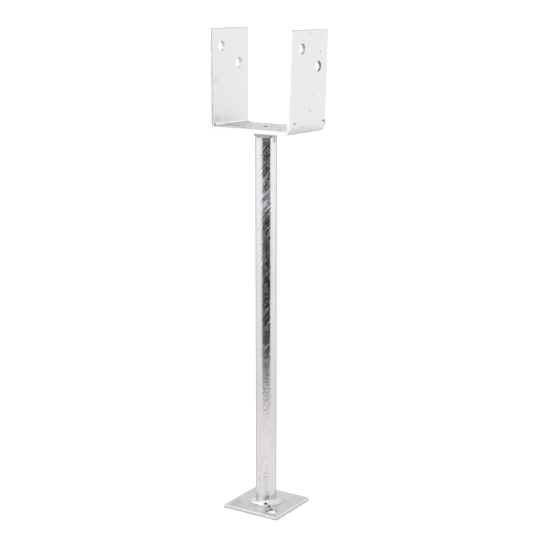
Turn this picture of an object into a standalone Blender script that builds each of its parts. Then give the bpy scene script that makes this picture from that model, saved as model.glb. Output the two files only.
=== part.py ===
"""A galvanised post anchor: a U-shaped saddle on a tube stem with a square base plate.

The saddle is one steel strap bent twice. It takes the foot of a square post, held by screws
through the ears. The stem stands in concrete, and the base plate on it is the anchor's foot.
Metres, +Z up. The origin is the middle of the base plate's underside. +X runs from ear to ear
and +Y across the strap. It is welded by hand, so the pieces sit a little off true.
"""

import math

import bpy
import bmesh
from mathutils import Matrix

# Saddle: a strap bent to a U
STRAP_WIDTH = 0.060
STRAP_THICK = 0.004
POST_GAP = 0.091
EAR_HEIGHT = 0.100
BEND_INNER = 0.0035
EAR_LEAN = math.radians(1.65)
SADDLE_SHIFT = 0.0011

# Holes in the ears: the upper one nearer the front edge, the lower one nearer the back edge
EAR_HOLE_RADIUS = 0.0055
EAR_HOLE_OFFSET = 0.014
EAR_HOLE_UPPER = 0.018
EAR_HOLE_LOWER = 0.0355

# Holes in the saddle's floor: four for screws, one over the stem to let the zinc drain
FLOOR_HOLE_RADIUS = 0.0035
FLOOR_HOLE_X = 0.028
FLOOR_HOLE_Y = 0.018
DRAIN_RADIUS = 0.004

# Stem
STEM_LENGTH = 0.391
STEM_RADIUS = 0.011
STEM_WALL = 0.002

# Base plate
PLATE_SIDE = 0.066
PLATE_THICK = 0.004
PLATE_TURN = math.radians(3.35)
PLATE_SHIFT = (0.0006, 0.0004)
PLATE_CORNERS = {
    (-1, -1): (0.0020, 3),
    (1, -1): (0.0040, 1),
    (1, 1): (0.0030, 4),
    (-1, 1): (0.0020, 3),
}
PLATE_HOLE_RADIUS = 0.00375
PLATE_HOLE = (0.0209, -0.0224)

# Fillet welds: leg along the plate and leg up the stem
TOP_WELD = (0.0033, 0.0060)
FOOT_WELD = (0.0058, 0.0057)

GAP = 0.0003
EDGE_ROUND = 0.0004
DRILL_LENGTH = 0.012
BEND_STEPS = 8
ROUND_STEPS = 48

# Worked out from the sizes above
BEND_OUTER = BEND_INNER + STRAP_THICK
SADDLE_HALF = POST_GAP / 2 + STRAP_THICK
SADDLE_FOOT = PLATE_THICK + STEM_LENGTH
SADDLE_TOP = SADDLE_FOOT + EAR_HEIGHT
FLOOR_TOP = SADDLE_FOOT + STRAP_THICK


def clear_scene():
    """Remove whatever the opened file holds."""
    for obj in list(bpy.data.objects):
        bpy.data.objects.remove(obj, do_unlink=True)


def new_collection(name, hidden=False):
    """A collection in the scene; a hidden one holds cutters."""
    group = bpy.data.collections.new(name)
    bpy.context.scene.collection.children.link(group)
    group.hide_render = hidden
    return group


def zinc(name, colour, roughness):
    """Hot-dip zinc, as a plain metallic finish."""
    finish = bpy.data.materials.new(name)
    finish.use_nodes = True
    shader = finish.node_tree.nodes["Principled BSDF"]
    shader.inputs["Base Color"].default_value = (*colour, 1.0)
    shader.inputs["Metallic"].default_value = 0.9
    shader.inputs["Roughness"].default_value = roughness
    return finish


def add_object(name, mesh, group, finish=None):
    """Put a mesh into a collection as a named object."""
    obj = bpy.data.objects.new(name, mesh)
    group.objects.link(obj)
    if finish:
        mesh.materials.append(finish)
    return obj


def arc(centre, radius, start, end, steps):
    """Points along a circular arc between two angles in radians."""
    turn = (end - start) / steps
    return [
        (centre[0] + radius * math.cos(start + turn * i), centre[1] + radius * math.sin(start + turn * i))
        for i in range(steps + 1)
    ]


def flat_outline(name, points, thickness, group):
    """A closed flat outline given a thickness, as a mesh in its own XY plane, centred on z = 0."""
    curve = bpy.data.curves.new(name, "CURVE")
    curve.dimensions = "2D"
    curve.fill_mode = "BOTH"
    curve.extrude = thickness / 2
    spline = curve.splines.new("POLY")
    spline.points.add(len(points) - 1)
    for point, (x, y) in zip(spline.points, points):
        point.co = (x, y, 0.0, 1.0)
    spline.use_cyclic_u = True
    outline = add_object(name, curve, group)
    bpy.context.view_layer.update()
    drawn = outline.evaluated_get(bpy.context.evaluated_depsgraph_get())
    mesh = bpy.data.meshes.new_from_object(drawn)
    bpy.data.objects.remove(outline, do_unlink=True)
    welded = bmesh.new()
    welded.from_mesh(mesh)
    bmesh.ops.remove_doubles(welded, verts=welded.verts, dist=1e-6)
    bmesh.ops.recalc_face_normals(welded, faces=welded.faces)
    welded.to_mesh(mesh)
    welded.free()
    return mesh


def round_edges(obj, width):
    """Break the sharp sheared edges."""
    bevel = obj.modifiers.new("broken edges", "BEVEL")
    bevel.width = width
    bevel.segments = 2
    bevel.limit_method = "ANGLE"
    bevel.angle_limit = math.radians(40)


def drill(obj, name, radius, place, group):
    """Cut a round hole along the place matrix's Z axis, right through a plate."""
    mesh = bpy.data.meshes.new(name)
    bit = bmesh.new()
    bmesh.ops.create_cone(
        bit, cap_ends=True, segments=ROUND_STEPS, radius1=radius, radius2=radius, depth=DRILL_LENGTH
    )
    bit.to_mesh(mesh)
    bit.free()
    cutter = add_object(name, mesh, group)
    cutter.matrix_world = place
    cutter.hide_render = True
    cutter.display_type = "WIRE"
    hole = obj.modifiers.new(name, "BOOLEAN")
    hole.operation = "DIFFERENCE"
    hole.object = cutter


def strap_side(inset):
    """One side of the strap's U profile, seen from the front, with x from the saddle's middle.

    It runs from the top of the left ear, round both bends, to the top of the right ear, which
    leans outwards by EAR_LEAN. The inset is 0 for the outer side, STRAP_THICK for the inner one.
    """
    radius = BEND_OUTER - inset
    bend_x = SADDLE_HALF - BEND_OUTER
    bend_z = SADDLE_FOOT + BEND_OUTER
    left = arc((-bend_x, bend_z), radius, math.pi, 1.5 * math.pi, BEND_STEPS)
    right = arc((bend_x, bend_z), radius, -0.5 * math.pi, -EAR_LEAN, BEND_STEPS)
    rise = SADDLE_TOP - bend_z
    left_top = (left[0][0], SADDLE_TOP)
    right_top = (
        right[-1][0] + rise * math.sin(EAR_LEAN),
        right[-1][1] + rise * math.cos(EAR_LEAN),
    )
    return [left_top, *left, *right, right_top]


def ear_holes(saddle, cutters):
    """Two holes in each ear, square to the ear that they go through."""
    levels = {"upper": (-EAR_HOLE_OFFSET, EAR_HOLE_UPPER), "lower": (EAR_HOLE_OFFSET, EAR_HOLE_LOWER)}
    middle = SADDLE_HALF - STRAP_THICK / 2
    for side, sign, lean in (("left", -1, 0.0), ("right", 1, EAR_LEAN)):
        for level, (y, drop) in levels.items():
            rise = EAR_HEIGHT - drop
            x = SADDLE_SHIFT + sign * middle + rise * math.sin(lean)
            turn = Matrix.Rotation(math.pi / 2 + lean, 4, "Y")
            place = Matrix.Translation((x, y, SADDLE_FOOT + rise)) @ turn
            drill(saddle, f"cut_{side}_ear_{level}", EAR_HOLE_RADIUS, place, cutters)


def floor_holes(saddle, cutters):
    """Four screw holes in a rectangle, and the drain hole over the stem's bore."""
    middle = SADDLE_FOOT + STRAP_THICK / 2
    for side, x in (("left", -FLOOR_HOLE_X), ("right", FLOOR_HOLE_X)):
        for end, y in (("front", -FLOOR_HOLE_Y), ("back", FLOOR_HOLE_Y)):
            place = Matrix.Translation((SADDLE_SHIFT + x, y, middle))
            drill(saddle, f"cut_floor_{side}_{end}", FLOOR_HOLE_RADIUS, place, cutters)
    drill(saddle, "cut_drain", DRAIN_RADIUS, Matrix.Translation((0, 0, middle)), cutters)


def make_saddle(group, cutters):
    """The strap bent to a U that the post stands in."""
    outline = strap_side(0.0) + strap_side(STRAP_THICK)[::-1]
    mesh = flat_outline("saddle_outline", outline, STRAP_WIDTH, group)
    mesh.transform(Matrix.Rotation(math.pi / 2, 4, "X"))
    saddle = add_object("saddle", mesh, group, zinc("zinc_saddle", (0.80, 0.80, 0.81), 0.45))
    saddle.location = (SADDLE_SHIFT, 0, 0)
    bpy.context.view_layer.update()
    round_edges(saddle, EDGE_ROUND)
    ear_holes(saddle, cutters)
    floor_holes(saddle, cutters)
    return saddle


def turned(name, profile, group, finish):
    """A closed profile of (radius, z) points turned about the Z axis."""
    mesh = bpy.data.meshes.new(name)
    ring = bmesh.new()
    corners = [ring.verts.new((radius, 0.0, z)) for radius, z in profile]
    for i, corner in enumerate(corners):
        ring.edges.new((corners[i - 1], corner))
    ring.to_mesh(mesh)
    ring.free()
    obj = add_object(name, mesh, group, finish)
    screw = obj.modifiers.new("turn", "SCREW")
    screw.axis = "Z"
    screw.steps = ROUND_STEPS
    screw.render_steps = ROUND_STEPS
    screw.use_merge_vertices = True
    screw.merge_threshold = 1e-6
    return obj


def make_stem(group):
    """The round tube between the base plate and the saddle."""
    low = PLATE_THICK + GAP
    high = SADDLE_FOOT - GAP
    bore = STEM_RADIUS - STEM_WALL
    profile = [(STEM_RADIUS, high), (STEM_RADIUS, low), (bore, low), (bore, high)]
    return turned("stem", profile, group, zinc("zinc_stem", (0.74, 0.74, 0.76), 0.25))


def weld_profile(face_z, out, rise):
    """A flat-faced fillet between the plate at face_z and the stem; rise is negative below a plate."""
    inner = STEM_RADIUS + GAP
    base = face_z + math.copysign(GAP, rise)
    side = [(inner, base), (inner + out, base), (inner, base + rise)]
    return side if rise < 0 else side[::-1]


def make_weld(name, face_z, size, group):
    """A ring of weld that joins the stem to a plate."""
    out, rise = size
    return turned(name, weld_profile(face_z, out, rise), group, zinc("zinc_" + name, (0.72, 0.72, 0.73), 0.4))


def at_corner(point, side_x, side_y):
    """Whether a point of the square block lies on its corner towards those two sides."""
    return min(point.x * side_x, point.y * side_y) > 0.49 * PLATE_SIDE


def plate_block():
    """A square block on z = 0 whose four upright corners each have their own rounding."""
    block = bmesh.new()
    bmesh.ops.create_cube(block, size=1.0)
    bmesh.ops.scale(block, vec=(PLATE_SIDE, PLATE_SIDE, PLATE_THICK), verts=block.verts)
    bmesh.ops.translate(block, vec=(0, 0, PLATE_THICK / 2), verts=block.verts)
    for (side_x, side_y), (radius, steps) in PLATE_CORNERS.items():
        upright = [e for e in block.edges if all(at_corner(v.co, side_x, side_y) for v in e.verts)]
        bmesh.ops.bevel(block, geom=upright, offset=radius, segments=steps, profile=0.5, affect="EDGES")
    mesh = bpy.data.meshes.new("base_plate")
    block.to_mesh(mesh)
    block.free()
    return mesh


def make_base_plate(group, cutters):
    """The square plate under the stem, with a hole near one corner."""
    plate = add_object("base_plate", plate_block(), group, zinc("zinc_plate", (0.70, 0.70, 0.72), 0.4))
    plate.location = (*PLATE_SHIFT, 0)
    plate.rotation_euler = (0, 0, PLATE_TURN)
    bpy.context.view_layer.update()
    round_edges(plate, 2 * EDGE_ROUND)
    corner = plate.matrix_world @ Matrix.Translation((*PLATE_HOLE, PLATE_THICK / 2))
    drill(plate, "cut_plate_corner", PLATE_HOLE_RADIUS, corner, cutters)
    return plate


def finish_pieces(group):
    """Shade the round faces smooth, keep the real edges sharp, and hang the pieces on one empty."""
    root = bpy.data.objects.new("post_anchor", None)
    for piece in list(group.objects):
        piece.data.shade_smooth()
        piece.data.set_sharp_from_angle(angle=math.radians(35))
        piece.parent = root
    group.objects.link(root)


def main():
    clear_scene()
    anchor = new_collection("post_anchor")
    cutters = new_collection("cutters", hidden=True)
    make_saddle(anchor, cutters)
    make_stem(anchor)
    make_base_plate(anchor, cutters)
    make_weld("saddle_weld", SADDLE_FOOT, (TOP_WELD[0], -TOP_WELD[1]), anchor)
    make_weld("foot_weld", PLATE_THICK, FOOT_WELD, anchor)
    finish_pieces(anchor)


main()
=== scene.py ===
"""Looks for a hot-dip galvanised post anchor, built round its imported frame.

Every piece is a numpy surface. Its place comes from the frame's nodes, and what their boxes don't
give is named below. The finish is one zinc recipe, tuned for each piece: how dull it is, how the
crystals show, and where the dip left runs, ash and bare specks.
"""

import math

import bpy
import numpy as np
from mathutils import Matrix, Vector


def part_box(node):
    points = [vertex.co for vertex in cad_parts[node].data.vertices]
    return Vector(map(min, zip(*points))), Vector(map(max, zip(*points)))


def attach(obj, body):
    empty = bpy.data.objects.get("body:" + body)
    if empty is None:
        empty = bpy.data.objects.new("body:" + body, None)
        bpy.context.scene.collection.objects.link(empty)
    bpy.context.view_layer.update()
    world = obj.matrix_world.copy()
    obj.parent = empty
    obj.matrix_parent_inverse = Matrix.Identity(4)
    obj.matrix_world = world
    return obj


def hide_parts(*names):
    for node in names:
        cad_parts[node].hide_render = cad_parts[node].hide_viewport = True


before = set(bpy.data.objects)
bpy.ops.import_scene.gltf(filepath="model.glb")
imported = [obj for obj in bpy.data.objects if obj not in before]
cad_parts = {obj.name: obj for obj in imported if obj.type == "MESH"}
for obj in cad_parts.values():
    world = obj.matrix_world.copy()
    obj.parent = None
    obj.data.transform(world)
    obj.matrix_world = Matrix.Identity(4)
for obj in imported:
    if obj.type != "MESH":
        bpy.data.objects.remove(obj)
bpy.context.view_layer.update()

MM = 0.001

# Saddle
SADDLE_HALF = 49.5 * MM
STRAP_THICK = 4 * MM
EAR_LEAN = math.radians(1.65)
BEND_INNER = 3.5 * MM
EAR_HOLE_RADIUS = 5.5 * MM
EAR_HOLES = ((-14 * MM, 18 * MM), (14 * MM, 35.5 * MM))  # across the ear, and down from its top
FLOOR_HOLE_RADIUS = 3.5 * MM
FLOOR_HOLE_SPACING = (28 * MM, 18 * MM)
DRAIN_RADIUS = 4 * MM

# Stem, plate and welds
STEM_WALL = 2 * MM
PLATE_SIDE = 66 * MM
PLATE_TURN = math.radians(3.35)
PLATE_SHIFT = (0.6 * MM, 0.4 * MM)
PLATE_CORNERS = (0.8 * MM, 4.0 * MM, 1.2 * MM, 2.0 * MM)  # left, front, right and back
PLATE_HOLE = (20.9 * MM, -22.4 * MM)
PLATE_HOLE_RADIUS = 3.75 * MM
STEM_FILM = 0.04 * MM

# The ear holes are made smaller than the frame's and slightly oval, as a thick coat of zinc would
# leave them. Why the real ones look so isn't known.
LEFT_COAT = 0.25 * MM
RIGHT_COAT = 0.45 * MM
EAR_HOLE_OVAL = 0.90
EAR_HOLE_DRIFT = 0.3 * MM

# How the foot bead climbs the stem: constant, cosine, sine, cosine of the doubled angle, measured
# from the plate's drilled corner, and how much of its node's width and height the bead takes
FOOT_CLIMB = (0.61, 0.20, 0.15, 0.19)
DRILLED_CORNER = math.radians(53.6)
FOOT_LEG_SHARE = 0.76
FOOT_RISE_SHARE = 0.93

# The stem was wiped on one side, in strokes that lean from the level
WIPE_SIDE = math.radians(36)
WIPE_LEAN = math.radians(55)

# The camera, and the dark part of the reflected floor: its two borders as turns round the anchor,
# how soft the left one is, and how far out it starts
CAMERA_TURN = 36.36
CAMERA_PLACE = (0.7679, -1.0424, 0.5370)
CAMERA_TILT = 12.204
CAMERA_LENS = 88.18
DARK_FROM = math.radians(-4)
DARK_TO = math.radians(83)
DARK_BLUR = math.radians(13)
DARK_START = 0.375

# Read off the frame
SADDLE_LOW, SADDLE_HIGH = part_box("saddle")
PLATE_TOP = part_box("base_plate")[1].z
STEM_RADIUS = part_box("stem")[1].x
TOP_WELD_LOW, TOP_WELD_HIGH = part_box("saddle_weld")
FOOT_WELD_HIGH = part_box("foot_weld")[1]
STRAP_WIDTH = SADDLE_HIGH.y - SADDLE_LOW.y
SADDLE_FOOT = SADDLE_LOW.z
SADDLE_TOP = SADDLE_HIGH.z
SADDLE_MIDDLE = SADDLE_LOW.x + SADDLE_HALF
FLOOR_TOP = SADDLE_FOOT + STRAP_THICK


# ---------------------------------------------------------------- surfaces


def surface(name, points, wrap_rows=False, wrap_columns=False, caps=False):
    """A mesh from a grid of points, with faces between neighbouring rows and columns.

    Rows or columns that wrap join last to first. Caps close the first and last rows with one face.
    """
    rows, columns = points.shape[:2]
    index = np.arange(rows * columns).reshape(rows, columns)
    net = index
    if wrap_rows:
        net = np.vstack([net, net[:1]])
    if wrap_columns:
        net = np.hstack([net, net[:, :1]])
    quads = np.stack([net[:-1, :-1], net[:-1, 1:], net[1:, 1:], net[1:, :-1]], -1)
    faces = quads.reshape(-1, 4).tolist()
    if caps:
        faces += [index[0, ::-1].tolist(), index[-1].tolist()]
    mesh = bpy.data.meshes.new(name)
    mesh.from_pydata(points.reshape(-1, 3).tolist(), [], faces)
    mesh.validate()
    piece = bpy.data.objects.new(name, mesh)
    bpy.context.scene.collection.objects.link(piece)
    return piece


def ripple(angle, waves):
    """A smooth uneven line round a ring: a sum of sines, each with a whole number of turns."""
    return sum(size * np.sin(turns * angle + phase) for turns, size, phase in waves)


def arc(start, end, steps):
    """Angles along an arc, both ends included, as an array."""
    return np.linspace(start, end, steps + 1)


def settled(piece):
    """The piece with its modifiers worked into the mesh."""
    bpy.context.view_layer.update()
    drawn = piece.evaluated_get(bpy.context.evaluated_depsgraph_get())
    mesh = bpy.data.meshes.new_from_object(drawn)
    piece.modifiers.clear()
    piece.data = mesh
    return piece


def hole_cutter(radius, thickness, place, lip=0.15 * MM):
    """A turned cutter for a round hole with rounded mouths.

    Along its axis the radius is the hole's own in the wall, and it grows as a quarter circle of
    the lip's size towards each face of the plate.
    """
    turn = arc(0, math.pi / 2, 6)
    mouth_r = radius + lip * (1 - np.cos(turn))
    mouth_z = thickness / 2 - lip * (1 - np.sin(turn))
    up_r = np.concatenate([mouth_r, [mouth_r[-1]]])
    up_z = np.concatenate([mouth_z, [thickness / 2 + 2 * MM]])
    profile_r = np.concatenate([up_r[::-1], up_r])
    profile_z = np.concatenate([-up_z[::-1], up_z])
    around = np.linspace(0, 2 * math.pi, 72, endpoint=False)
    points = np.stack(
        [
            profile_r[:, None] * np.cos(around),
            profile_r[:, None] * np.sin(around),
            np.broadcast_to(profile_z[:, None], (len(profile_z), len(around))),
        ],
        -1,
    )
    cutter = surface("cutter", points, wrap_columns=True, caps=True)
    cutter.data.transform(place)
    return cutter


def drill(piece, cutters):
    """Cut every hole of a piece, then let the cutters go."""
    for cutter in cutters:
        cut = piece.modifiers.new("hole", "BOOLEAN")
        cut.operation = "DIFFERENCE"
        cut.solver = "EXACT"
        cut.object = cutter
    settled(piece)
    for cutter in cutters:
        bpy.data.objects.remove(cutter, do_unlink=True)
    return piece


def shade(piece, angle=40):
    """Smooth shading that keeps flat faces flat: normals weighted by face area."""
    piece.data.shade_smooth()
    piece.data.set_sharp_from_angle(angle=math.radians(angle))
    weighted = piece.modifiers.new("weighted normals", "WEIGHTED_NORMAL")
    weighted.keep_sharp = True
    weighted.weight = 100
    return settled(piece)


def hang(piece, node, material):
    """Put a finished piece in the place of its node."""
    piece.data.materials.clear()
    piece.data.materials.append(material)
    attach(piece, "root")
    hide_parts(node)
    return piece


# ---------------------------------------------------------------- saddle


def strap_path():
    """Middle line of the strap's U in the XZ plane: points, directions and outward normals.

    Down the left ear, a quarter turn, along the floor, a quarter turn less the lean, and up the
    right ear. Straight stretches are in short steps so that the coat can ripple on them.
    """
    radius = BEND_INNER + STRAP_THICK / 2
    outer = BEND_INNER + STRAP_THICK
    left_x = SADDLE_MIDDLE - SADDLE_HALF + outer
    right_x = SADDLE_MIDDLE + SADDLE_HALF - outer
    bend_z = SADDLE_FOOT + outer
    rise = SADDLE_TOP - bend_z
    bend_left = arc(math.pi, 1.5 * math.pi, 20)
    bend_right = arc(-0.5 * math.pi, -EAR_LEAN, 20)
    down = np.linspace(rise, 0, 46)[:-1]
    along = np.linspace(left_x, right_x, 42)[1:-1]
    up = np.linspace(0, rise, 46)[1:]
    angle = np.concatenate(
        [
            np.full(down.size, math.pi),
            bend_left,
            np.full(along.size, 1.5 * math.pi),
            bend_right + 2 * math.pi,
            np.full(up.size, 2 * math.pi - EAR_LEAN),
        ]
    )
    centre_x = np.concatenate(
        [np.full(down.size + 21, left_x), along, np.full(21 + up.size, right_x)]
    )
    slide = np.concatenate([-down, np.zeros(21 + along.size + 21), up])
    normal = np.stack([np.cos(angle), np.sin(angle)], -1)
    forward = np.stack([-np.sin(angle), np.cos(angle)], -1)
    middle = np.stack([centre_x, np.full(angle.size, bend_z)], -1)
    middle = middle + radius * normal + slide[:, None] * forward
    return middle, forward, normal


def strap_section(inset, edge):
    """Cross-section of the strap as (y, depth) points: a long rectangle with round edges.

    The inset shrinks it evenly, for the rounded ends of the strap.
    """
    half_y = STRAP_WIDTH / 2 - edge
    half_n = STRAP_THICK / 2 - edge
    flat = np.linspace(-1, 1, 28)[1:-1]
    reach = edge - inset
    parts = []
    for sy, sn, start in ((1, 1, 0.0), (-1, 1, 0.5), (-1, -1, 1.0), (1, -1, 1.5)):
        turn = arc(start * math.pi, (start + 0.5) * math.pi, 4)
        corner_y = sy * half_y + reach * np.cos(turn)
        corner_n = sn * half_n + reach * np.sin(turn)
        parts.append(np.stack([corner_y, corner_n], -1))
        if sy == 1 and sn == 1:
            parts.append(np.stack([-flat * half_y, np.full(flat.size, half_n + reach)], -1))
        if sy == -1 and sn == -1:
            parts.append(np.stack([flat * half_y, np.full(flat.size, -half_n - reach)], -1))
    return np.concatenate(parts)


def sheared_edge(along, side):
    """How far a sheared edge strays from straight: two sines of the place along the strap."""
    return 0.10 * MM * np.sin(along * 210 + side) + 0.06 * MM * np.sin(along * 560 + 2.3 * side)


def make_saddle():
    """The strap: its rounded section carried along the U path, ends rounded, holes drilled.

    Towards each end the section shrinks and moves in as a quarter circle. At the two long edges
    the side is drawn in by a stray line, which fades out within a few millimetres of the edge.
    """
    edge = 0.4 * MM
    draw_in = 0.16 * MM
    middle, forward, normal = strap_path()
    travelled = np.concatenate([[0], np.cumsum(np.linalg.norm(np.diff(middle, axis=0), axis=1))])
    turn = arc(0, math.pi / 2, 4)[:-1]
    inset_in = edge * (1 - np.sin(turn))
    back_in = edge * (1 - np.cos(turn))
    inset = np.concatenate([inset_in, np.zeros(len(middle) - 2), inset_in[::-1]])
    start = middle[:1] + (back_in[:, None]) * forward[:1]
    stop = middle[-1:] - (back_in[::-1, None]) * forward[-1:]
    centre = np.concatenate([start, middle[1:-1], stop])
    facing = np.concatenate([np.repeat(normal[:1], 4, 0), normal[1:-1], np.repeat(normal[-1:], 4, 0)])
    place = np.concatenate([np.zeros(4), travelled[1:-1], np.full(4, travelled[-1])])
    section = np.stack([strap_section(i, edge) for i in inset])
    side = section[..., 0]
    depth = section[..., 1]
    near_edge = (np.abs(side) / (STRAP_WIDTH / 2)) ** 24
    stray = sheared_edge(place[:, None], np.sign(side)) * near_edge
    points = np.stack(
        [
            centre[:, None, 0] + depth * facing[:, None, 0],
            side - np.sign(side) * (draw_in * near_edge - stray),
            centre[:, None, 1] + depth * facing[:, None, 1],
        ],
        -1,
    )
    saddle = surface("saddle_strap", points[:, ::-1], wrap_columns=True, caps=True)
    drill(saddle, ear_cutters() + floor_cutters())
    return shade(saddle)


def ear_cutters():
    """Cutters for two holes in each ear, square to the ear and narrower than high."""
    oval = Matrix.Diagonal((1.0, EAR_HOLE_OVAL, 1.0, 1.0))
    cutters = []
    for side, lean, coat in ((-1, 0.0, LEFT_COAT), (1, EAR_LEAN, RIGHT_COAT)):
        for y, drop in EAR_HOLES:
            rise = SADDLE_TOP - SADDLE_FOOT - drop
            x = SADDLE_MIDDLE + side * (SADDLE_HALF - STRAP_THICK / 2)
            x += (rise - BEND_INNER - STRAP_THICK) * math.sin(lean)
            turn = Matrix.Rotation(math.pi / 2 + lean, 4, "Y") @ oval
            place = Matrix.Translation((x, y + EAR_HOLE_DRIFT, SADDLE_FOOT + rise)) @ turn
            cutters.append(hole_cutter(EAR_HOLE_RADIUS - coat, STRAP_THICK, place))
    return cutters


def floor_cutters():
    """Cutters for the four screw holes and the drain hole in the saddle's floor."""
    middle = SADDLE_FOOT + STRAP_THICK / 2
    reach_x, reach_y = FLOOR_HOLE_SPACING
    signs = [(i, j) for i in (-1, 1) for j in (-1, 1)]
    spots = [(SADDLE_MIDDLE + i * reach_x, j * reach_y, FLOOR_HOLE_RADIUS) for i, j in signs]
    spots.append((0.0, 0.0, DRAIN_RADIUS))
    return [hole_cutter(r, STRAP_THICK, Matrix.Translation((x, y, middle))) for x, y, r in spots]


# ---------------------------------------------------------------- stem


def make_stem():
    """The tube: a ring section, outside then inside, carried up the stem.

    The coat is a little thicker in places, a few hundredths of a millimetre over some
    centimetres, which bends the reflections without showing in the outline.
    """
    around = np.linspace(0, 2 * math.pi, 160, endpoint=False)
    height = np.linspace(PLATE_TOP, SADDLE_FOOT, 261)
    level, angle = np.meshgrid(height, around, indexing="ij")
    coat = 0.020 * MM * np.sin(3 * angle + 40 * level) * np.sin(52 * level)
    coat += 0.014 * MM * np.sin(5 * angle - 95 * level + 1.0)
    outer = STEM_RADIUS - STEM_FILM + coat
    inner = np.full_like(level, STEM_RADIUS - STEM_WALL)
    radius = np.concatenate([outer, inner[::-1]])
    level = np.concatenate([level, level[::-1]])
    angle = np.concatenate([angle, angle])
    points = np.stack([radius * np.cos(angle), radius * np.sin(angle), level], -1)
    stem = surface("stem_tube", points, wrap_rows=True, wrap_columns=True)
    return shade(stem)


# ---------------------------------------------------------------- base plate


def plate_outline(per_corner=10, per_side=30):
    """The plate's outline and its outward normals: straight sides joined by four corner arcs."""
    half = PLATE_SIDE / 2
    corners = np.array([(-1, -1), (1, -1), (1, 1), (-1, 1)])
    spots = []
    facing = []
    for i, radius in enumerate(PLATE_CORNERS):
        turn = arc(math.pi * (1 + i / 2), math.pi * (1.5 + i / 2), per_corner)
        normal = np.stack([np.cos(turn), np.sin(turn)], -1)
        spots.append(corners[i] * (half - radius) + radius * normal)
        facing.append(normal)
        reach = PLATE_CORNERS[(i + 1) % 4]
        first = spots[-1][-1]
        last = corners[(i + 1) % 4] * (half - reach) + reach * normal[-1]
        share = np.linspace(0, 1, per_side + 2)[1:-1, None]
        spots.append(first + share * (last - first))
        facing.append(np.repeat(normal[-1:], per_side, 0))
    return np.concatenate(spots), np.concatenate(facing)


def make_base_plate():
    """The plate: its outline carried over a narrow bead on top and a wide roll underneath.

    The rim profile comes out along the top face, over the small upper edge, down the sheared side
    and round the wide lower edge, as quarter circles. Zinc gathers in a low bead along the upper
    edge, which is a bell curve of the inset. The sheared side stands back a little and wanders by
    less than a tenth of a millimetre, as two sines of the way round.
    """
    outline, normal = plate_outline()
    run = np.cumsum(np.r_[0, np.linalg.norm(np.diff(outline, axis=0), axis=1)])
    wander = 0.05 * MM * (np.sin(run * 330) + 0.6 * np.sin(run * 870 + 1.0)) - 0.17 * MM
    upper = 0.6 * MM
    lower = 2.5 * MM
    bead = 0.16 * MM
    bead_inset = 1.0 * MM
    bead_spread = 0.55 * MM
    over = arc(math.pi / 2, 0, 6)
    below = arc(0, -math.pi / 2, 8)
    inset = [[26 * MM, 18 * MM, 10 * MM, 4 * MM], [2.4 * MM, 1.9 * MM, 1.5 * MM, 1.1 * MM, 0.8 * MM]]
    inset += [upper * (1 - np.cos(over)), lower * (1 - np.cos(below)), [6 * MM, 14 * MM]]
    inset = np.concatenate(inset)
    height = [np.full(9, PLATE_TOP), PLATE_TOP - upper * (1 - np.sin(over))]
    height += [lower * (1 + np.sin(below)), [0, 0]]
    height = np.concatenate(height)
    ridge = bead * np.exp(-(((inset - bead_inset) / bead_spread) ** 2))
    ridge = ridge * (height > PLATE_TOP - upper)
    height = height - bead * (height > lower) + ridge
    near = (inset < 3 * MM)[:, None, None]
    rim = outline[None] + normal[None] * (wander[None, :, None] - inset[:, None, None])
    inner = outline[None] * (1 - inset[:, None, None] / (PLATE_SIDE / 2))
    spots = np.where(near, rim, inner)
    level = np.broadcast_to(height[:, None, None], (*spots.shape[:2], 1))
    points = np.concatenate([spots, level], -1)
    plate = surface("base_plate_steel", points[:, ::-1], wrap_columns=True, caps=True)
    place = Matrix.Translation((*PLATE_SHIFT, 0)) @ Matrix.Rotation(PLATE_TURN, 4, "Z")
    plate.data.transform(place)
    corner = place @ Matrix.Translation((*PLATE_HOLE, PLATE_TOP / 2))
    drill(plate, [hole_cutter(PLATE_HOLE_RADIUS, PLATE_TOP - bead, corner)])
    return shade(plate)


# ---------------------------------------------------------------- welds


def weld_ring(name, face_z, up, leg, rise, waves, bead, crown, climb=(1.0, 0.0, 0.0, 0.0)):
    """A fillet weld round the stem.

    Across the bead the section runs from the toe on the plate to the toe on the stem: a straight
    chamfer, bulged towards a quarter ellipse by the crown value. Round the stem the leg swells and
    shrinks by the waves, and short laps of the bead's size follow each other. The bead climbs the
    stem unevenly: climb gives a constant, a cosine, a sine and a cosine of the doubled angle, all
    measured from the side of the plate's drilled corner.
    """
    around = np.linspace(0, 2 * math.pi, 360, endpoint=False)
    across = np.linspace(0, math.pi / 2, 17)
    spread = 1 + ripple(around, waves)
    lap = np.sin(58 * around + 2.0 * np.sin(3 * around)) + 0.6 * np.sin(23 * around + 1.3)
    t = across / (math.pi / 2)
    out = crown * np.cos(across) + (1 - crown) * (1 - t)
    high = crown * np.sin(across) + (1 - crown) * t
    swell = bead * np.sin(math.pi * t)[:, None] * lap[None]
    radius = STEM_RADIUS - 0.1 * MM + (leg * spread[None]) * out[:, None] + swell
    side = around + DRILLED_CORNER
    share = climb[0] + climb[1] * np.cos(side) + climb[2] * np.sin(side) + climb[3] * np.cos(2 * side)
    level = (rise * (0.7 + 0.3 * spread[None])) * share * high[:, None] + swell * 0.6
    level = np.maximum(level, 0)
    root = np.full((1, around.size), STEM_RADIUS - 0.6 * MM)
    radius = np.concatenate([root, radius, root])
    level = np.concatenate([np.zeros((1, around.size)), level, level[-1:]])
    z = face_z + up * level
    points = np.stack([radius * np.cos(around), radius * np.sin(around), z], -1)
    if up > 0:
        points = points[::-1]
    ring = surface(name, points, wrap_rows=True, wrap_columns=True)
    return shade(ring, 60)


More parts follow.
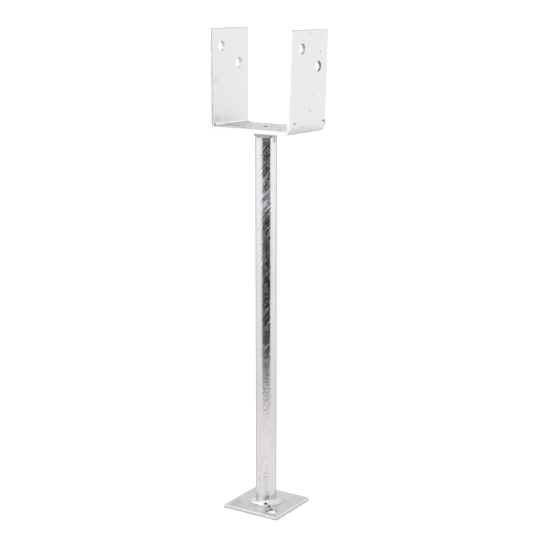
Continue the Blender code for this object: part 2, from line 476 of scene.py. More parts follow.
def make_foot_weld():
    """The wide bright bead between the plate and the stem, smaller than its node and uneven."""
    leg = (FOOT_WELD_HIGH.x - STEM_RADIUS) * FOOT_LEG_SHARE
    rise = (FOOT_WELD_HIGH.z - PLATE_TOP) * FOOT_RISE_SHARE
    waves = ((2, 0.22, 0.87), (4, 0.20, 5.76), (9, 0.018, 1.9), (14, 0.015, 0.4))
    return weld_ring("foot_weld_bead", PLATE_TOP, 1, leg, rise, waves, 0.12 * MM, 0.60, FOOT_CLIMB)


def make_saddle_weld():
    """The small bead under the saddle."""
    leg = TOP_WELD_HIGH.x - STEM_RADIUS
    rise = SADDLE_FOOT - TOP_WELD_LOW.z
    waves = ((1, 0.06, 2.6), (3, 0.04, 0.3), (7, 0.03, 1.1))
    return weld_ring("saddle_weld_bead", SADDLE_FOOT, -1, leg, rise, waves, 0.08 * MM, 0.0)


# ---------------------------------------------------------------- shader maths


class Value:
    """A shader socket that can be used in sums; each sum adds its own Math node."""

    def __init__(self, nodes, socket):
        self.nodes = nodes
        self.socket = socket

    def __add__(self, other):
        return self.nodes.calculate("ADD", self, other)

    def __sub__(self, other):
        return self.nodes.calculate("SUBTRACT", self, other)

    def __rsub__(self, other):
        return self.nodes.calculate("SUBTRACT", other, self)

    def __mul__(self, other):
        return self.nodes.calculate("MULTIPLY", self, other)

    def __truediv__(self, other):
        return self.nodes.calculate("DIVIDE", self, other)

    __radd__ = __add__
    __rmul__ = __mul__

    def clamp(self):
        return self.nodes.add("ShaderNodeClamp", {}, {"Value": self})

    def between(self, low, high):
        """0 below low, 1 above high, and a smooth step between them; high below low turns it round."""
        return self.nodes.add(
            "ShaderNodeMapRange",
            {"interpolation_type": "SMOOTHSTEP"},
            {"Value": self, "From Min": low, "From Max": high, "To Min": 0.0, "To Max": 1.0},
        )


class Nodes:
    """A material's node tree."""

    def __init__(self, name):
        self.material = bpy.data.materials.new(name)
        self.material.use_nodes = True
        self.tree = self.material.node_tree
        self.shader = self.tree.nodes["Principled BSDF"]

    def add(self, kind, settings, sockets, output=0):
        """Any node: its type, its settings, and the values or links of its sockets."""
        node = self.tree.nodes.new(kind)
        for name, setting in settings.items():
            setattr(node, name, setting)
        for key, value in sockets.items():
            self.feed(node.inputs[key], value)
        return Value(self, node.outputs[output])

    def feed(self, socket, value):
        if isinstance(value, Value):
            self.tree.links.new(value.socket, socket)
        else:
            socket.default_value = value

    def calculate(self, operation, first, second=0.0):
        return self.add("ShaderNodeMath", {"operation": operation}, {0: first, 1: second})

    def place(self, stretch=(1.0, 1.0, 1.0), turn=(0.0, 0.0, 0.0)):
        """Object coordinates, turned and then stretched for a pattern."""
        spot = self.add("ShaderNodeTexCoord", {}, {}, "Object")
        if any(turn):
            spot = self.add("ShaderNodeMapping", {}, {"Vector": spot, "Rotation": turn})
        return self.add("ShaderNodeMapping", {}, {"Vector": spot, "Scale": stretch})

    def noise(self, spot, scale, detail=3.0, rough=0.55):
        sockets = {"Vector": spot, "Scale": scale, "Detail": detail, "Roughness": rough}
        return self.add("ShaderNodeTexNoise", {}, sockets)

    def cells(self, spot, scale, output="Distance"):
        return self.add("ShaderNodeTexVoronoi", {}, {"Vector": spot, "Scale": scale}, output)

    def flow(self, along, across):
        """A place in a flat pattern, from its two measures."""
        return self.add("ShaderNodeCombineXYZ", {}, {"X": along, "Y": across})

    def mix(self, share, first, second):
        """Two colours mixed; the share may vary. Sockets 0, 6 and 7 are share, first and second."""
        first, second = ((*c, 1.0) if isinstance(c, tuple) else c for c in (first, second))
        return self.add("ShaderNodeMix", {"data_type": "RGBA"}, {0: share, 6: first, 7: second}, 2)

    def distance_to(self, spot, point, squash=(1.0, 1.0, 1.0)):
        """Distance from a named point, with each axis weighed."""
        gap = self.add("ShaderNodeVectorMath", {"operation": "SUBTRACT"}, {0: spot, 1: point})
        gap = self.add("ShaderNodeVectorMath", {"operation": "MULTIPLY"}, {0: gap, 1: squash})
        return self.add("ShaderNodeVectorMath", {"operation": "LENGTH"}, {0: gap}, "Value")

    def axis(self, spot, name):
        return self.add("ShaderNodeSeparateXYZ", {}, {0: spot}, name)

    def bump(self, height, strength, distance):
        sockets = {"Height": height, "Strength": strength, "Distance": distance}
        return self.add("ShaderNodeBump", {}, sockets, "Normal")


# ---------------------------------------------------------------- zinc


BROWN = (0.20, 0.14, 0.11)
RUST = (0.12, 0.08, 0.06)
SLATE = (0.13, 0.14, 0.19)
OLIVE = (0.45, 0.42, 0.34)
GREY = (0.42, 0.42, 0.43)
BLACK = (0.03, 0.03, 0.045)
WHITE = (0.97, 0.96, 0.96)


def zinc(name, colour, metal, rough, spangle, mottle, grain, marks, bump):
    """Hot-dip zinc.

    Broad clouds and a cell pattern of crystals change the colour a little, fine grain changes
    it too, and rare specks of ash and pinholes are darker and brown. Marks adds a piece's own.
    """
    n = Nodes(name)
    spot = n.place()
    clouds = n.noise(spot, 55.0, 4.0, 0.6)
    crystals = n.cells(n.place((1.0, 1.0, 1.0), (0.3, 0.5, 0.2)), 330.0, "Color")
    crystal_tone = n.axis(crystals, "X")
    fine = n.noise(spot, 1400.0, 2.0, 0.6)
    tone = (clouds - 0.5) * mottle + (crystal_tone - 0.5) * spangle + (fine - 0.5) * grain
    dark = tuple(0.62 * c for c in colour)
    light = tuple(min(1.0, 1.16 * c) for c in colour)
    body = n.mix((tone + 0.70).clamp(), dark, light)
    specks = n.cells(n.place(), 95.0)
    sparse = n.noise(n.place(), 38.0, 1.0)
    speck = specks.between(0.055, 0.020) * sparse.between(0.60, 0.68)
    body = n.mix(speck * 0.75, body, BROWN)
    roughness = rough + (clouds - 0.5) * 0.16 + (crystal_tone - 0.5) * 0.05 + speck * 0.3
    height = fine * 0.25 + clouds * 1.0 + crystal_tone * 0.12
    body, roughness, height, metal = marks(n, body, roughness, height, metal)
    n.feed(n.shader.inputs["Base Color"], body)
    n.feed(n.shader.inputs["Roughness"], roughness.clamp())
    n.feed(n.shader.inputs["Metallic"], metal)
    n.feed(n.shader.inputs["Specular Tint"], (0.80, 0.80, 0.80, 1.0))
    n.feed(n.shader.inputs["Normal"], n.bump(height, 1.0, bump))
    return n.material


def spot_marks(n, body, roughness, spots):
    """Small marks, each at its own place with its own radius, strength and colour.

    A fifth value squashes a mark along the axes, so that it lies as a streak.
    """
    here = n.place()
    edge = n.noise(here, 900.0, 2.0)
    for point, radius, strength, colour, *squash in spots:
        reach = n.distance_to(here, point, *squash)
        mark = (reach + (edge - 0.5) * radius * 1.2).between(radius, radius * 0.4) * strength
        body = n.mix(mark, body, colour)
        roughness = roughness + mark * 0.2
    return body, roughness


def bores(n, holes, axes):
    """One on the walls of drilled holes, zero elsewhere: inside a radius round each axis."""
    here = n.place()
    walls = 0.0
    for point, radius in holes:
        reach = n.distance_to(here, point, axes)
        walls = reach.between(radius + 0.10 * MM, radius + 0.02 * MM) + walls
    return walls.clamp()


def right_ear(from_front, above_floor):
    """A place on the right ear's outer face, in millimetres from its front edge and the floor."""
    x = SADDLE_MIDDLE + SADDLE_HALF + above_floor * MM * math.sin(EAR_LEAN)
    return (x, from_front * MM - STRAP_WIDTH / 2, FLOOR_TOP + above_floor * MM)


def left_ear(from_front, above_floor):
    """A place on the left ear's inner face, in millimetres from its front edge and the floor."""
    x = SADDLE_MIDDLE - SADDLE_HALF + STRAP_THICK
    return (x, from_front * MM - STRAP_WIDTH / 2, FLOOR_TOP + above_floor * MM)


def beside_screw(i, j, right, back):
    """A place on the saddle's floor, in millimetres from the middle of one of its screw holes."""
    wide, deep = FLOOR_HOLE_SPACING
    return (SADDLE_MIDDLE + i * wide + right * MM, j * deep + back * MM, FLOOR_TOP)


def on_plate(right, back):
    """A place on the plate's top, in millimetres from the stem's axis."""
    return (right * MM, back * MM, PLATE_TOP)


def beside_corner_hole(right, back):
    """A place on the plate's top, in millimetres from the middle of its drilled corner hole."""
    across, deep = PLATE_HOLE
    x = PLATE_SHIFT[0] + across * math.cos(PLATE_TURN) - deep * math.sin(PLATE_TURN)
    y = PLATE_SHIFT[1] + across * math.sin(PLATE_TURN) + deep * math.cos(PLATE_TURN)
    return (x + right * MM, y + back * MM, PLATE_TOP)


def by_turn(degrees, out, height):
    """A place round the stem: its turn from the front to the right, and how far out in millimetres."""
    turn = math.radians(degrees)
    reach = STEM_RADIUS + out * MM
    return (reach * math.sin(turn), -reach * math.cos(turn), height)


def saddle_marks(n, body, roughness, height, metal):
    """Duller zinc on the floor, dull cut ends, marks where the dip ran off, and painted light: a
    painted highlight on the front edge, painted shade in the left bend, down the left ear's front
    corner and in the ear bores, painted light on the floor holes' walls, and painted glints and shade
    among the marks.
    """
    here = n.place()
    x = n.axis(here, "X")
    z = n.axis(here, "Z")
    inner = SADDLE_HALF - STRAP_THICK
    left = SADDLE_MIDDLE - inner
    right = SADDLE_MIDDLE + SADDLE_HALF
    gap = n.calculate("ABSOLUTE", x - SADDLE_MIDDLE)
    seat = z.between(FLOOR_TOP + 1.2 * MM, FLOOR_TOP + 0.1 * MM)
    seat = seat * z.between(FLOOR_TOP - 0.5 * MM, FLOOR_TOP - 0.1 * MM)
    seat = seat * gap.between(inner, inner - 0.6 * MM)
    body = n.mix(seat * 0.62, body, (0.60, 0.585, 0.60))
    shadow = n.distance_to(here, (left + 2.2 * MM, 0.0, FLOOR_TOP + 0.5 * MM), (1.0, 0.0, 1.0))
    body = n.mix(shadow.between(1.8 * MM, 0.5 * MM) * 0.55, body, OLIVE)
    cut_end = z.between(SADDLE_TOP - 0.75 * MM, SADDLE_TOP - 0.35 * MM)
    body = n.mix(cut_end * 0.75, body, (0.42, 0.37, 0.35))
    # The front edge is mixed towards white, most at the floor and bends: a painted highlight.
    front_edge = -STRAP_WIDTH / 2
    front = n.axis(here, "Y").between(front_edge + 0.6 * MM, front_edge + 0.1 * MM)
    body = n.mix(front * (z.between(FLOOR_TOP + 3 * MM, FLOOR_TOP) * 0.35 + 0.42), body, WHITE)
    # A broken bluish dark line down the left ear's inner front corner: painted shade along the edge.
    edge_shade_line = n.distance_to(here, (left, front_edge + 0.3 * MM, 0.0), (1.0, 1.0, 0.0))
    edge_shade_line = edge_shade_line.between(0.75 * MM, 0.35 * MM)
    edge_shade_line = edge_shade_line * n.noise(here, 420.0, 3.0, 0.7).between(0.30, 0.52)
    body = n.mix(edge_shade_line * 0.75, body, (0.30, 0.31, 0.38))
    heights = [(y + EAR_HOLE_DRIFT, SADDLE_TOP - drop) for y, drop in EAR_HOLES]
    oval = (0.0, 1 / EAR_HOLE_OVAL, 1.0)
    left_bores = bores(n, [((0.0, *spot), EAR_HOLE_RADIUS - LEFT_COAT) for spot in heights], oval)
    upper_bore = bores(n, [((0.0, *heights[0]), EAR_HOLE_RADIUS - RIGHT_COAT)], oval)
    lower_bore = bores(n, [((0.0, *heights[1]), EAR_HOLE_RADIUS - RIGHT_COAT)], oval)
    # The ear bores' walls are darkened, grey in the left ear and brown to near black on the outer part
    # of the right ear's: painted shade in the holes.
    outer = x.between(right - 0.8 * MM, right + 0.2 * MM)
    body = n.mix(left_bores * x.between(0.0, -1 * MM) * 0.6, body, (0.52, 0.50, 0.50))
    body = n.mix(upper_bore * outer * 0.85, body, (0.33, 0.27, 0.22))
    body = n.mix(lower_bore * outer * 0.95, body, (0.10, 0.07, 0.06))
    # The walls of the floor's screw holes and drain are painted white and not metallic, the front left
    # one a little less white: painted light on the walls.
    screws = [(beside_screw(i, j, 0, 0), FLOOR_HOLE_RADIUS) for i, j in ((1, -1), (1, 1), (-1, 1))]
    pale = bores(n, [*screws, ((0.0, 0.0, 0.0), DRAIN_RADIUS)], (1.0, 1.0, 0.0))
    body = n.mix(pale, body, (1.0, 1.0, 1.0))
    painted_lit_front_left_bore = bores(n, [(beside_screw(-1, -1, 0, 0), FLOOR_HOLE_RADIUS)], (1.0, 1.0, 0.0))
    body = n.mix(painted_lit_front_left_bore, body, (0.85, 0.83, 0.83))
    metal = (pale + painted_lit_front_left_bore) * -metal + metal
    spots = (
        (right_ear(7, 7.5), 1.7 * MM, 0.80, BROWN, (0.6, 0.8, 1.3)),
        # This white mark beside the brown lump is a painted highlight on the lump's edge.
        (right_ear(10.5, 8.5), 1.5 * MM, 0.80, WHITE),
        (right_ear(56.5, 7), 2.3 * MM, 0.85, RUST, (0.6, 0.6, 1.8)),
        (right_ear(59.5, 5), 1.9 * MM, 0.95, RUST, (0.6, 0.9, 0.9)),
        (right_ear(20, 3), 1.1 * MM, 0.55, BROWN, (1.0, 0.6, 1.4)),
        # This white mark beside the brown lump is a painted highlight on the lump's edge.
        (right_ear(17, 2.5), 1.2 * MM, 0.60, WHITE),
        (right_ear(4.5, 3.5), 0.9 * MM, 0.45, BROWN),
        (right_ear(47, 74.5), 1.0 * MM, 0.70, BROWN, (0.5, 1.0, 0.8)),
        (right_ear(28, 92), 1.2 * MM, 0.50, BROWN, (0.5, 0.8, 1.2)),
        (right_ear(1, 95.5), 1.0 * MM, 0.80, BROWN),
        (right_ear(36.5, 33), 1.2 * MM, 0.60, OLIVE),
        (right_ear(32.5, 18.5), 1.3 * MM, 0.70, BROWN),
        # A broad faint grey patch low on the right ear, by the bend: painted shade.
        (right_ear(20, 0), 12.0 * MM, 0.20, GREY, (1.0, 0.3, 2.0)),
        (left_ear(8, 8), 4.5 * MM, 0.20, (0.50, 0.52, 0.50)),
        (left_ear(6.5, 45), 3.2 * MM, 0.22, OLIVE, (1.0, 1.0, 0.75)),
        (left_ear(6.5, 45), 2.6 * MM, 0.70, (0.87, 0.85, 0.85), (1.0, 1.0, 0.75)),
        (left_ear(54, 5.5), 0.9 * MM, 0.30, OLIVE),
        (left_ear(53, 70), 3.0 * MM, 0.30, WHITE, (1.0, 0.5, 1.2)),
        (left_ear(3.5, 1), 2.2 * MM, 0.90, BROWN),
        (beside_screw(-1, -1, -14, 12), 3.6 * MM, 0.50, OLIVE, (0.7, 1.0, 1.0)),
        (beside_screw(-1, -1, -2.5, 8), 4.2 * MM, 1.00, RUST, (1.8, 0.55, 1.0)),
        (beside_screw(-1, -1, -8.5, 5), 3.2 * MM, 0.75, BROWN, (1.9, 0.55, 1.0)),
        (beside_screw(-1, -1, 13.5, -1.5), 3.0 * MM, 0.85, BROWN, (1.6, 0.6, 1.0)),
        # At two screw holes a slate mark over the mouth and a white one beside it are painted shade
        # and painted glints; the white mark at the drain is a painted glint too.
        (beside_screw(-1, 1, 0.5, -0.5), 4.0 * MM, 1.00, SLATE, (2.0, 0.6, 0.3)),
        (beside_screw(-1, 1, 4.5, 1), 4.0 * MM, 1.00, WHITE, (1.7, 0.6, 0.3)),
        (beside_screw(1, -1, -1.5, -0.5), 4.2 * MM, 0.95, SLATE, (1.8, 0.6, 0.3)),
        (beside_screw(1, -1, 2.5, 1), 3.8 * MM, 0.95, WHITE, (1.6, 0.6, 0.3)),
        ((-2.5 * MM, 0.0, FLOOR_TOP), 3.8 * MM, 1.00, RUST, (2.2, 0.6, 0.3)),
        ((1 * MM, 1.5 * MM, FLOOR_TOP), 4.2 * MM, 1.00, WHITE, (1.7, 0.6, 0.3)),
        ((4.5 * MM, 3 * MM, FLOOR_TOP), 3.2 * MM, 0.85, BROWN, (2.0, 0.6, 0.3)),
    )
    body, roughness = spot_marks(n, body, roughness, spots)
    return body, roughness + seat * 0.1, height, metal


def stem_marks(n, body, roughness, height, metal):
    """Slanting streaks where the tube was wiped as it left the bath, and a scuffed foot.

    The streaks are noise drawn out along a line that leans away from the level, so that they wind
    round the stem. They make the zinc paler all round, strongest between two heights. In a band
    on the wiped side, which faces the camera and shows the reflected dark floor, they and a finer
    grain make it less metallic too and bluish pale: painted bluish highlights in that reflection.
    """
    here = n.place()
    z = n.axis(here, "Z")
    x = n.axis(here, "X")
    y = n.axis(here, "Y")
    ahead = x * math.sin(WIPE_SIDE) - y * math.cos(WIPE_SIDE)
    aside = x * math.cos(WIPE_SIDE) + y * math.sin(WIPE_SIDE)
    round_stem = n.calculate("ARCTAN2", aside, ahead) * STEM_RADIUS
    along = round_stem * math.cos(WIPE_LEAN) + z * math.sin(WIPE_LEAN)
    across = z * math.cos(WIPE_LEAN) - round_stem * math.sin(WIPE_LEAN)
    slant = n.noise(n.flow(along * 0.12, across), 520.0, 3.0, 0.62)
    broad = n.noise(n.flow(along * 0.35, across), 75.0, 2.0, 0.5)
    mottle = n.noise(n.place((1.0, 1.0, 0.8)), 560.0, 3.0, 0.65)
    wiped = z.between(304 * MM, 318 * MM) * z.between(354 * MM, 344 * MM)
    band = round_stem.between(-6.5 * MM, -4.0 * MM) * round_stem.between(5.0 * MM, 3.6 * MM)
    streak = slant.between(0.42, 0.62) * (wiped * 0.80 + broad.between(0.58, 0.68) * 0.40 + 0.02)
    grain = n.noise(n.flow(along * 0.40, across), 430.0, 2.0, 0.6)
    grain = grain.between(0.51, 0.62) * 0.15
    # The band faces the camera where the dark floor is reflected; its bluish pale mix is painted
    # highlight, on top of the paler wiped streaks all round.
    metal = (streak * 0.50 + grain) * band * -1.0 + metal
    body = n.mix(streak * 0.35 + grain * band * 3.0, body, (0.84, 0.82, 0.95))
    border = round_stem.between(-7.0 * MM, -5.8 * MM) * round_stem.between(-2.2 * MM, -3.6 * MM)
    fade = z.between(185 * MM, 135 * MM) * z.between(90 * MM, 120 * MM)
    foot = z.between(30 * MM, 8 * MM)
    body = n.mix(foot * 0.12, body, (0.52, 0.54, 0.57))
    scuff = n.noise(n.place((1.0, 1.0, 1.0), (0.0, 0.6, 0.6)), 420.0, 3.0, 0.7)
    scuffed = z.between(24 * MM, 32 * MM) * z.between(72 * MM, 38 * MM)
    scuffed = scuffed * round_stem.between(-11 * MM, -7 * MM) * round_stem.between(5 * MM, 0.0)
    body = n.mix(scuff.between(0.56, 0.66) * scuffed * 0.80, body, (0.36, 0.37, 0.42))
    shade_line = n.distance_to(here, by_turn(36, 0, PLATE_TOP + 16 * MM), (1.0, 1.0, 0.12))
    body = n.mix(shade_line.between(4 * MM, 1 * MM) * 0.35, body, (0.52, 0.57, 0.63))
    spots = (
        (by_turn(-10, 0, SADDLE_FOOT - 9 * MM), 0.6 * MM, 0.80, BROWN),
        (by_turn(85, 0, SADDLE_FOOT - 8.5 * MM), 3.2 * MM, 0.60, (0.35, 0.29, 0.28), (1.0, 1.0, 0.8)),
        (by_turn(44, 0, PLATE_TOP + 8.5 * MM), 2.6 * MM, 0.60, (0.22, 0.24, 0.27), (1.0, 1.0, 0.8)),
        (by_turn(32, 0, PLATE_TOP + 6 * MM), 1.4 * MM, 0.75, (0.12, 0.12, 0.15)),
        (by_turn(75, 0, PLATE_TOP + 9 * MM), 0.8 * MM, 0.80, BROWN),
        (by_turn(0, 0, PLATE_TOP + 9 * MM), 0.8 * MM, 0.45, OLIVE),
        (by_turn(90, 0, SADDLE_FOOT - 152 * MM), 0.5 * MM, 0.50, BROWN),
    )
    body, roughness = spot_marks(n, body, roughness, spots)
    height = height * 0.25 + slant * (border * 2.2 + 1.6) + mottle * (fade * 1.5 + 1.2)
    return body, roughness + (slant - 0.5) * 0.10 + foot * 0.12, height, metal


def plate_marks(n, body, roughness, height, metal):
    """Patches, a row of dark pinholes from the bead to the corner hole, a painted highlight along the
    top edge, painted shade on the lower edges and lower side, and painted light on the corner hole's
    wall.
    """
    patch = n.noise(n.place(), 90.0, 3.0, 0.55)
    body = n.mix(patch.between(0.46, 0.66) * 0.35, body, (0.76, 0.73, 0.73))
    spots = (
        (on_plate(2, 25), 16.0 * MM, 0.40, (0.76, 0.72, 0.74)),
        (beside_corner_hole(-14, 1), 6.5 * MM, 0.55, (0.74, 0.78, 0.83)),
        (beside_corner_hole(-4.5, 4.5), 2.3 * MM, 0.97, BLACK, (0.8, 0.8, 1.0)),
        (beside_corner_hole(1, 6), 1.5 * MM, 0.75, (0.12, 0.15, 0.15)),
        (beside_corner_hole(3.5, 4.5), 1.3 * MM, 0.65, (0.12, 0.15, 0.15)),
        (beside_corner_hole(-5.5, -1), 1.9 * MM, 0.85, (0.12, 0.15, 0.15)),
        (beside_corner_hole(-9.5, 8.5), 1.8 * MM, 0.90, (0.10, 0.06, 0.05)),
        (beside_corner_hole(-11.5, 7), 1.2 * MM, 0.65, (0.30, 0.25, 0.12)),
        (beside_corner_hole(4, -11), 4.5 * MM, 0.50, (0.86, 0.84, 0.86), (0.7, 1.5, 0.6)),
        (on_plate(-22, -24), 10.0 * MM, 0.50, (0.47, 0.45, 0.40), (1.5, 0.8, 1.0)),
        (on_plate(-27, -14), 4.0 * MM, 0.40, (0.48, 0.46, 0.42)),
        (on_plate(-26, -28), 1.8 * MM, 0.50, WHITE),
        (on_plate(13, 19), 5.0 * MM, 0.40, (0.84, 0.81, 0.78), (1.0, 1.4, 1.0)),
        (on_plate(-17.5, -8), 1.2 * MM, 0.80, WHITE),
    )
    body, roughness = spot_marks(n, body, roughness, spots)
    here = n.place((1.0, 1.0, 1.0), (0.0, 0.0, -PLATE_TURN))
    low = n.axis(here, "Z").between(1.7 * MM, 0.8 * MM)
    beads = n.noise(here, 320.0, 2.0)
    # The lower edges are darkened, in dots on the right and evenly on the left: painted shade on the
    # rolled-under edge.
    right = n.axis(here, "X").between(31 * MM, 32 * MM)
    body = n.mix(low * right * beads.between(0.35, 0.55) * 0.95, body, (0.12, 0.09, 0.09))
    left = n.axis(here, "X").between(-30.5 * MM, -31.5 * MM)
    body = n.mix(low * left * 0.75, body, (0.16, 0.13, 0.13))
    level = n.axis(here, "Z")
    side_x = n.calculate("ABSOLUTE", n.axis(here, "X") - PLATE_SHIFT[0])
    side_y = n.calculate("ABSOLUTE", n.axis(here, "Y") - PLATE_SHIFT[1])
    reach = n.calculate("MAXIMUM", side_x, side_y)
    # A pale line along the top edge is a painted highlight, and the lower side is darkened as painted
    # shade.
    edge = reach.between(PLATE_SIDE / 2 - 1.5 * MM, PLATE_SIDE / 2 - 0.9 * MM)
    line = edge * level.between(PLATE_TOP - 1.0 * MM, PLATE_TOP - 0.5 * MM)
    body = n.mix(line * 0.8, body, (0.84, 0.82, 0.83))
    body = n.mix(level.between(2.2 * MM, 1.2 * MM) * 0.10, body, (0.36, 0.35, 0.37))
    # The corner hole's wall is painted pale and not metallic: painted light on the wall.
    corner = (PLATE_HOLE[0] + PLATE_SHIFT[0], PLATE_HOLE[1] + PLATE_SHIFT[1], 0.0)
    wall = n.distance_to(here, corner, (1.0, 1.0, 0.0))
    wall = wall.between(PLATE_HOLE_RADIUS + 0.3 * MM, PLATE_HOLE_RADIUS)
    wall = wall * level.between(PLATE_TOP - 0.20 * MM, PLATE_TOP - 0.35 * MM)
    body = n.mix(wall, body, (0.90, 0.89, 0.90))
    return body, roughness, height + patch * 0.8, wall * -metal + metal


def weld_marks(n, body, roughness, height, metal):
    """Zinc lies thick and bright on the foot bead; the saddle's bead is duller and darkened by painted
    shade under the saddle, with pinholes.
    """
    here = n.place()
    lumps = n.noise(here, 330.0, 3.0, 0.6)
    high = n.axis(here, "Z").between(0.1, 0.3)
    # The bead under the saddle is mixed darker: painted shade under the saddle.
    body = n.mix(high * 0.6, body, (0.50, 0.48, 0.46))
    body = n.mix(lumps.between(0.56, 0.70) * 0.6, body, (0.45, 0.44, 0.46))
    dull = n.axis(n.place((1.0, 1.0, 1.0), (0.0, 0.0, -0.63)), "X").between(3 * MM, 9 * MM)
    body = n.mix(dull * 0.60, body, (0.68, 0.64, 0.65))
    spots = (
        (by_turn(36, 3, PLATE_TOP + 2.5 * MM), 1.9 * MM, 1.00, (0.05, 0.04, 0.09), (0.8, 0.8, 1.2)),
        (by_turn(29, 3, PLATE_TOP + 2 * MM), 1.5 * MM, 0.95, (0.05, 0.04, 0.09)),
        (by_turn(48, 4, PLATE_TOP + 0.5 * MM), 1.6 * MM, 0.95, (0.10, 0.06, 0.05)),
        (by_turn(39, 4.5, PLATE_TOP), 1.0 * MM, 0.50, (0.30, 0.26, 0.12)),
        (by_turn(-18, 2, PLATE_TOP + 2 * MM), 1.2 * MM, 0.60, GREY),
        (by_turn(-52, 5.5, PLATE_TOP), 1.3 * MM, 0.55, OLIVE),
        (by_turn(32, 0.5, SADDLE_FOOT - 3.5 * MM), 0.9 * MM, 0.95, (0.08, 0.04, 0.05)),
        (by_turn(58, 0.5, SADDLE_FOOT - 5 * MM), 1.8 * MM, 0.80, (0.14, 0.09, 0.10), (1.0, 1.0, 1.5)),
        (by_turn(46, 0.5, SADDLE_FOOT - 3 * MM), 1.6 * MM, 0.55, (0.30, 0.26, 0.28)),
    )
    body, roughness = spot_marks(n, body, roughness, spots)
    return body, roughness + (lumps - 0.5) * 0.2 + high * 0.2, height + lumps * 3.0, metal


# ---------------------------------------------------------------- studio


def white_floor():
    """A plain white floor, lit enough to lose its shadows."""
    n = Nodes("studio_floor")
    grain = n.noise(n.place(), 3.0, 2.0)
    n.feed(n.shader.inputs["Base Color"], n.mix(grain, (0.90, 0.90, 0.90), (0.93, 0.93, 0.93)))
    n.feed(n.shader.inputs["Roughness"], 0.9)
    n.feed(n.shader.inputs["Emission Color"], (1.0, 1.0, 1.0, 1.0))
    n.feed(n.shader.inputs["Emission Strength"], 0.35)
    return n.material


def even_floor():
    """The floor that reflections meet: a pale glow, and a dark part on one side of the room.

    The glow brightens with the distance from the anchor, dips a little close to it, and is darker
    behind it. The dark part is a sector round the anchor from a set distance outwards. Its left
    border is soft and its right border is sharp.
    """
    n = Nodes("reflected_floor")
    here = n.place()
    reach = n.distance_to(here, (0.0, 0.0, 0.0))
    back = n.axis(here, "Y") * -1.0
    turn = n.calculate("ARCTAN2", n.axis(here, "X"), back)
    border = (n.noise(here, 5.0, 3.0, 0.6) - 0.5) * 0.10 - reach.between(1.3, 1.9) * 0.12
    pinch = reach.between(0.62, 0.36) * 0.30
    left = turn + border - pinch
    sector = left.between(DARK_FROM - DARK_BLUR, DARK_FROM) * 0.86
    sector = left.between(DARK_FROM, DARK_FROM + 3 * DARK_BLUR) * 0.14 + sector
    sector = sector * (turn + pinch).between(DARK_TO, DARK_TO - 0.04)
    sector = sector * (reach + border).between(DARK_START, DARK_START + 0.12)
    turned = math.radians(CAMERA_TURN)
    facing = (n.axis(here, "X") * math.sin(turned) + back * math.cos(turned)) / reach
    dip = reach.between(0.18, 0.34) * reach.between(0.62, 0.44)
    glow = n.mix(reach.between(0.45, 2.3), (0.895, 0.875, 0.875), (1.05, 1.035, 1.035))
    glow = n.mix(dip * 0.075, glow, (0.0, 0.0, 0.0))
    glow = n.mix(facing.between(-0.45, -0.90), glow, (0.66, 0.64, 0.645))
    glow = n.mix(sector, glow, (0.008, 0.006, 0.014))
    n.feed(n.shader.inputs["Base Color"], (0.0, 0.0, 0.0, 1.0))
    n.feed(n.shader.inputs["Specular IOR Level"], 0.0)
    n.feed(n.shader.inputs["Emission Color"], glow)
    n.feed(n.shader.inputs["Emission Strength"], 1.0)
    return n.material


def make_floor(name, material, height):
    """A wide flat floor under the anchor."""
    edge = np.linspace(-60, 60, 3)
    x, y = np.meshgrid(edge, edge, indexing="ij")
    floor = surface(name, np.stack([x, y, np.full_like(x, height)], -1))
    floor.data.materials.append(material)
    return floor


def make_floors():
    """One floor for the eye and for soft light, and one for reflections."""
    seen = make_floor("studio_floor", white_floor(), 0.0)
    seen.visible_glossy = False
    reflected = make_floor("reflected_floor", even_floor(), -0.5 * MM)
    reflected.visible_camera = False
    reflected.visible_diffuse = False
    reflected.visible_shadow = False


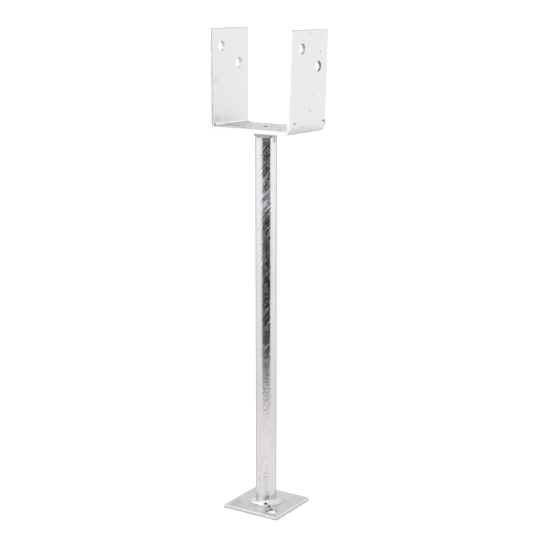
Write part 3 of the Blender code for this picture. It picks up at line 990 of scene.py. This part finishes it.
def make_light(name, place, target, size, power):
    """A square softbox that points at the target."""
    data = bpy.data.lights.new(name, "AREA")
    data.size = size
    data.energy = power
    light = bpy.data.objects.new(name, data)
    light.location = place
    light.rotation_euler = (Vector(target) - Vector(place)).to_track_quat("-Z", "Y").to_euler()
    bpy.context.scene.collection.objects.link(light)
    return light


def make_world():
    """Even white light from all round."""
    world = bpy.data.worlds.new("studio")
    world.use_nodes = True
    world.node_tree.nodes["Background"].inputs["Color"].default_value = (1.0, 1.0, 1.0, 1.0)
    world.node_tree.nodes["Background"].inputs["Strength"].default_value = 1.0
    world.cycles.sampling_method = "NONE"
    bpy.context.scene.world = world


def make_camera():
    """The camera, level, turned to the anchor and tilted down a little."""
    data = bpy.data.cameras.new("camera")
    data.lens = CAMERA_LENS
    data.sensor_width = 36.0
    data.clip_end = 200.0
    camera = bpy.data.objects.new("camera", data)
    camera.location = CAMERA_PLACE
    camera.rotation_euler = (math.radians(90 - CAMERA_TILT), 0.0, math.radians(CAMERA_TURN))
    bpy.context.scene.collection.objects.link(camera)
    bpy.context.scene.camera = camera


def main():
    make_camera()
    make_world()
    make_floors()
    make_light("key", (-0.9, -1.5, 1.3), (0, 0, 0.3), 1.2, 7.0)
    make_light("top", (0.2, 0.6, 2.2), (0, 0, 0.3), 1.6, 3.0)
    bpy.context.scene.view_settings.view_transform = "Standard"
    bright = (0.83, 0.815, 0.82)
    warm = (0.915, 0.867, 0.870)
    dull = (0.62, 0.605, 0.61)
    saddle_zinc = zinc("zinc_saddle", warm, 0.75, 0.42, 0.05, 0.10, 0.05, saddle_marks, 0.05 * MM)
    stem_zinc = zinc("zinc_stem", bright, 0.98, 0.12, 0.10, 0.14, 0.05, stem_marks, 0.09 * MM)
    plate_zinc = zinc("zinc_plate", dull, 0.80, 0.40, 0.08, 0.16, 0.06, plate_marks, 0.06 * MM)
    weld_zinc = zinc("zinc_weld", bright, 0.85, 0.32, 0.05, 0.20, 0.05, weld_marks, 0.10 * MM)
    hang(make_saddle(), "saddle", saddle_zinc)
    hang(make_stem(), "stem", stem_zinc)
    hang(make_base_plate(), "base_plate", plate_zinc)
    hang(make_saddle_weld(), "saddle_weld", weld_zinc)
    hang(make_foot_weld(), "foot_weld", weld_zinc)


main()
